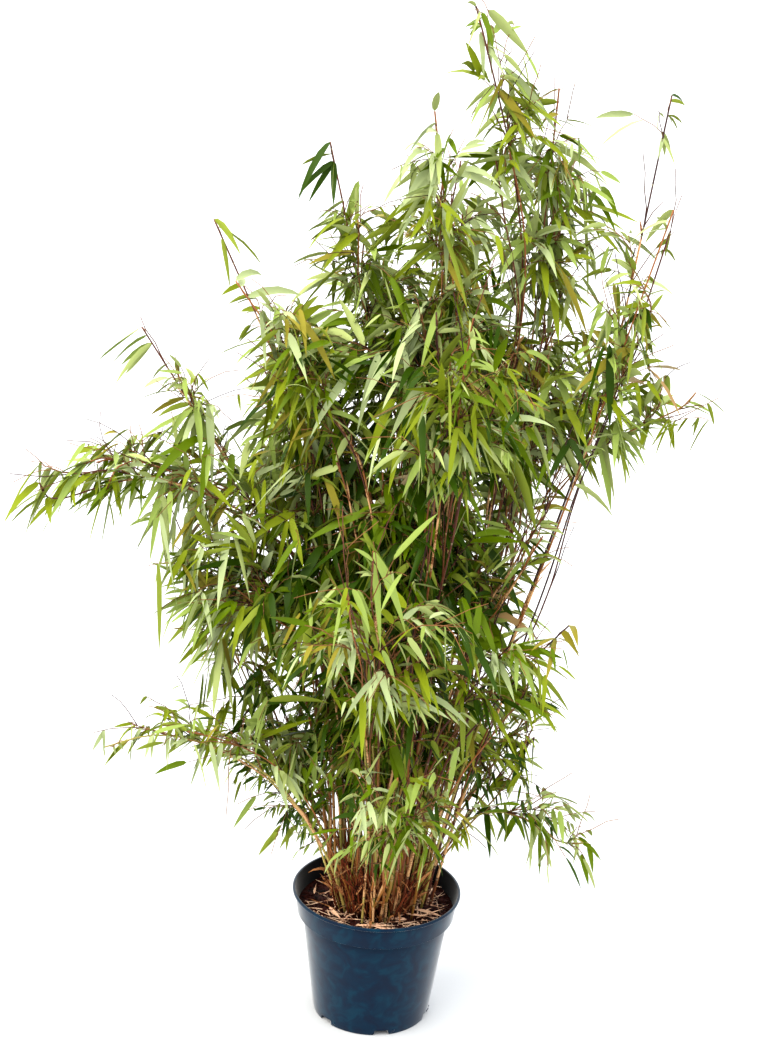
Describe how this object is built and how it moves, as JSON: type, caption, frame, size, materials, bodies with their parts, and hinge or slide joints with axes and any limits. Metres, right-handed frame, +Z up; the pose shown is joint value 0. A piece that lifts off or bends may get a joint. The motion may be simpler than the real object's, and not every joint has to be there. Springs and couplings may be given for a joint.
{
  "type": "potted clumping bamboo",
  "caption": "Clumping garden bamboo: slender arching canes with leafy plumes fanning out of a tapered round nursery pot.",
  "frame": {"origin": "centre of the pot's flat underside", "axes": "+Z up, along the height of the plant; -Y towards the front view; +X to the right of it"},
  "size_m": [1.074, 0.7147, 1.64],
  "materials": {
    "pot": "glossy blue-black moulded plastic",
    "compost": "matt, dark bark compost with dry litter",
    "cane": "satin yellow-green cane with dry papery sheaths",
    "foliage": "satin green narrow leaves"
  },
  "bodies": {
    "root": {"pot": "pot", "compost": "compost", "foliage_heart_low": "foliage", "foliage_heart_mid": "foliage", "foliage_heart_high": "foliage", "foliage_crown_left": "foliage", "foliage_crown_right": "foliage", "foliage_crown_tip": "foliage", "foliage_crown_back": "foliage", "foliage_right_spire": "foliage", "foliage_right_shoulder": "foliage", "foliage_right_wing": "foliage", "foliage_right_heart": "foliage", "foliage_right_waist": "foliage", "foliage_right_flank": "foliage", "foliage_right_back": "foliage", "foliage_low_right": "foliage", "foliage_low_right_arm": "foliage", "foliage_left_crown": "foliage", "foliage_left_spire": "foliage", "foliage_left_fan": "foliage", "foliage_left_horn": "foliage", "foliage_left_heart": "foliage", "foliage_left_arm": "foliage", "foliage_left_flank": "foliage", "foliage_left_back": "foliage", "foliage_low_left": "foliage", "foliage_low_left_arm": "foliage", "foliage_front_high": "foliage", "foliage_front_mid": "foliage", "foliage_front_low": "foliage", "foliage_back_mid": "foliage", "foliage_back_low": "foliage", "cane_heart_low": "cane", "cane_crown_left": "cane", "cane_crown_right": "cane", "cane_crown_tip": "cane", "cane_crown_back": "cane", "cane_right_spire": "cane", "cane_right_shoulder": "cane", "cane_right_wing": "cane", "cane_right_waist": "cane", "cane_right_flank": "cane", "cane_right_back": "cane", "cane_low_right": "cane", "cane_low_right_arm": "cane", "cane_left_crown": "cane", "cane_left_spire": "cane", "cane_left_fan": "cane", "cane_left_horn": "cane", "cane_left_arm": "cane", "cane_left_flank": "cane", "cane_left_back": "cane", "cane_low_left": "cane", "cane_low_left_arm": "cane", "cane_front_high": "cane", "cane_front_mid": "cane", "cane_front_low": "cane", "cane_back_mid": "cane", "cane_back_low": "cane"}
  },
  "joints": []
}
